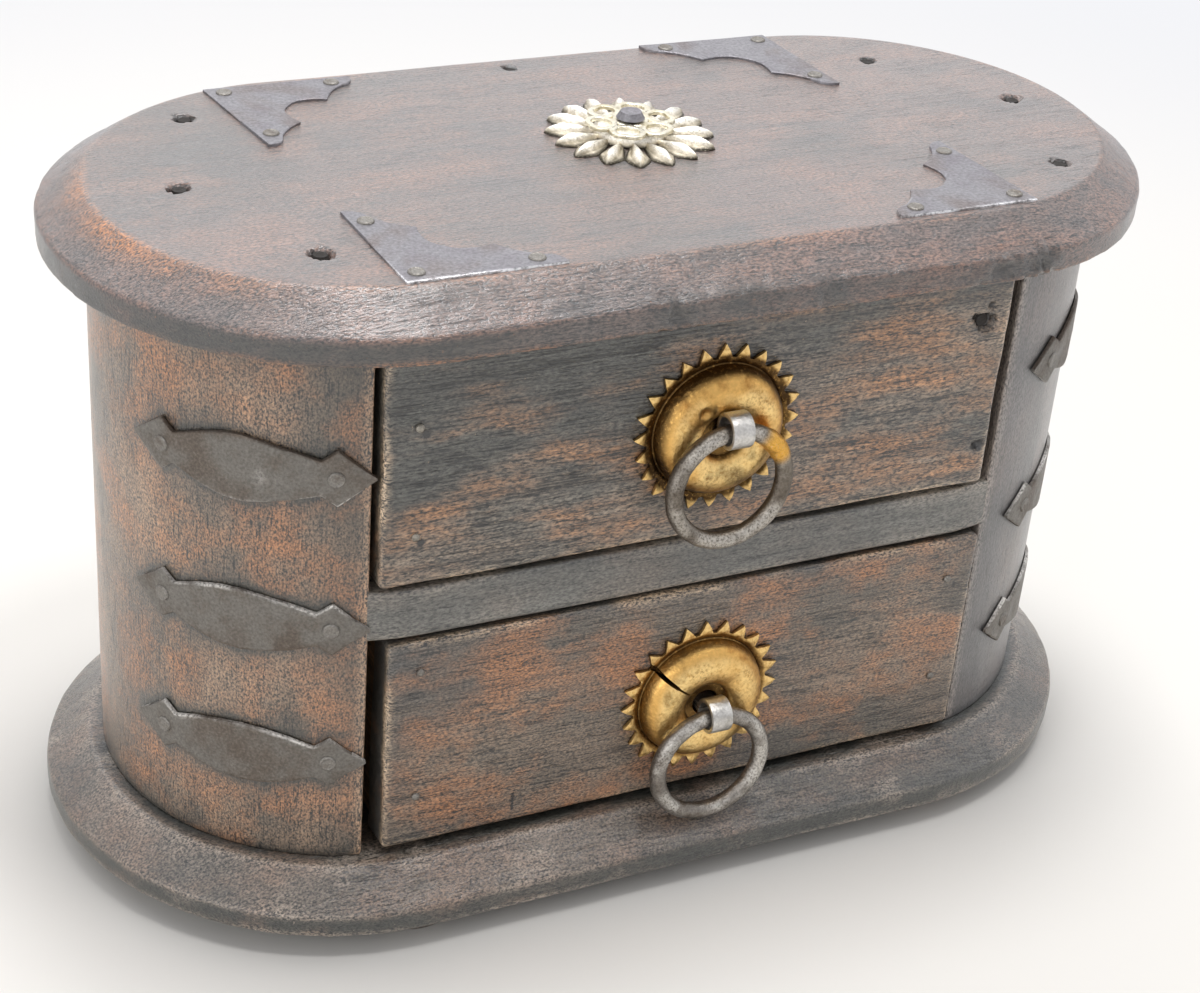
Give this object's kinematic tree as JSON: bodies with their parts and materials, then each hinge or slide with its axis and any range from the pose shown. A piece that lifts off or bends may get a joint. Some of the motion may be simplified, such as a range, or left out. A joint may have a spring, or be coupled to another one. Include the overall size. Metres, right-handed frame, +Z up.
{
  "type": "tabletop drawer box",
  "caption": "Small dark wooden chest with half-round ends, bevelled boards, sliding drawers, iron straps and plates, brass escutcheons with ring pulls and a brass rosette on top.",
  "frame": {"origin": "under the middle of the base, on the surface that the feet stand on", "axes": "+X along the chest's length to the right, +Y to its back, +Z up; the drawers slide out along -Y"},
  "size_m": [0.26, 0.134, 0.1611],
  "materials": {
    "dark_wood": "worn wax",
    "iron": "worn blackened",
    "brass": "aged, polished on the high spots",
    "steel": "bright"
  },
  "bodies": {
    "chest": {"base_board": "dark_wood", "top_board": "dark_wood", "left_end_block": "dark_wood", "right_end_block": "dark_wood", "back_panel": "dark_wood", "drawer_divider": "dark_wood", "front_left_foot": "dark_wood", "front_right_foot": "dark_wood", "rear_left_foot": "dark_wood", "rear_right_foot": "dark_wood", "top_nails": "iron", "base_nails": "iron", "left_upper_strap": "iron", "left_middle_strap": "iron", "left_lower_strap": "iron", "right_upper_strap": "iron", "right_middle_strap": "iron", "right_lower_strap": "iron", "strap_nails": "iron", "front_left_corner_plate": "iron", "front_right_corner_plate": "iron", "rear_left_corner_plate": "iron", "rear_right_corner_plate": "iron", "corner_plate_nails": "iron", "rosette_petals": "brass", "rosette_flower": "brass", "rosette_nail": "iron"},
    "upper_drawer": {"upper_drawer_front": "dark_wood", "upper_drawer_left_side": "dark_wood", "upper_drawer_right_side": "dark_wood", "upper_drawer_back": "dark_wood", "upper_drawer_bottom": "dark_wood", "upper_drawer_nails": "iron", "upper_escutcheon": "brass", "upper_staple": "steel"},
    "upper_ring_pull": {"upper_ring": "iron"},
    "lower_drawer": {"lower_drawer_front": "dark_wood", "lower_drawer_left_side": "dark_wood", "lower_drawer_right_side": "dark_wood", "lower_drawer_back": "dark_wood", "lower_drawer_bottom": "dark_wood", "lower_drawer_nails": "iron", "lower_escutcheon": "brass", "lower_staple": "steel"},
    "lower_ring_pull": {"lower_ring": "iron"}
  },
  "joints": [
    {"name": "upper_drawer_slide", "type": "slide", "parent": "chest", "child": "upper_drawer", "axis": [0, -1, 0], "range_m": [0, 0.08]},
    {"name": "upper_ring_swing", "type": "hinge", "parent": "upper_drawer", "child": "upper_ring_pull", "pos_m": [0.0005, -0.0629, 0.11673], "axis": [-1, 0, 0], "range_deg": [-7, 165]},
    {"name": "lower_drawer_slide", "type": "slide", "parent": "chest", "child": "lower_drawer", "axis": [0, -1, 0], "range_m": [0, 0.08]},
    {"name": "lower_ring_swing", "type": "hinge", "parent": "lower_drawer", "child": "lower_ring_pull", "pos_m": [0.0037, -0.0629, 0.04368], "axis": [-1, 0, 0], "range_deg": [-2, 165]}
  ]
}
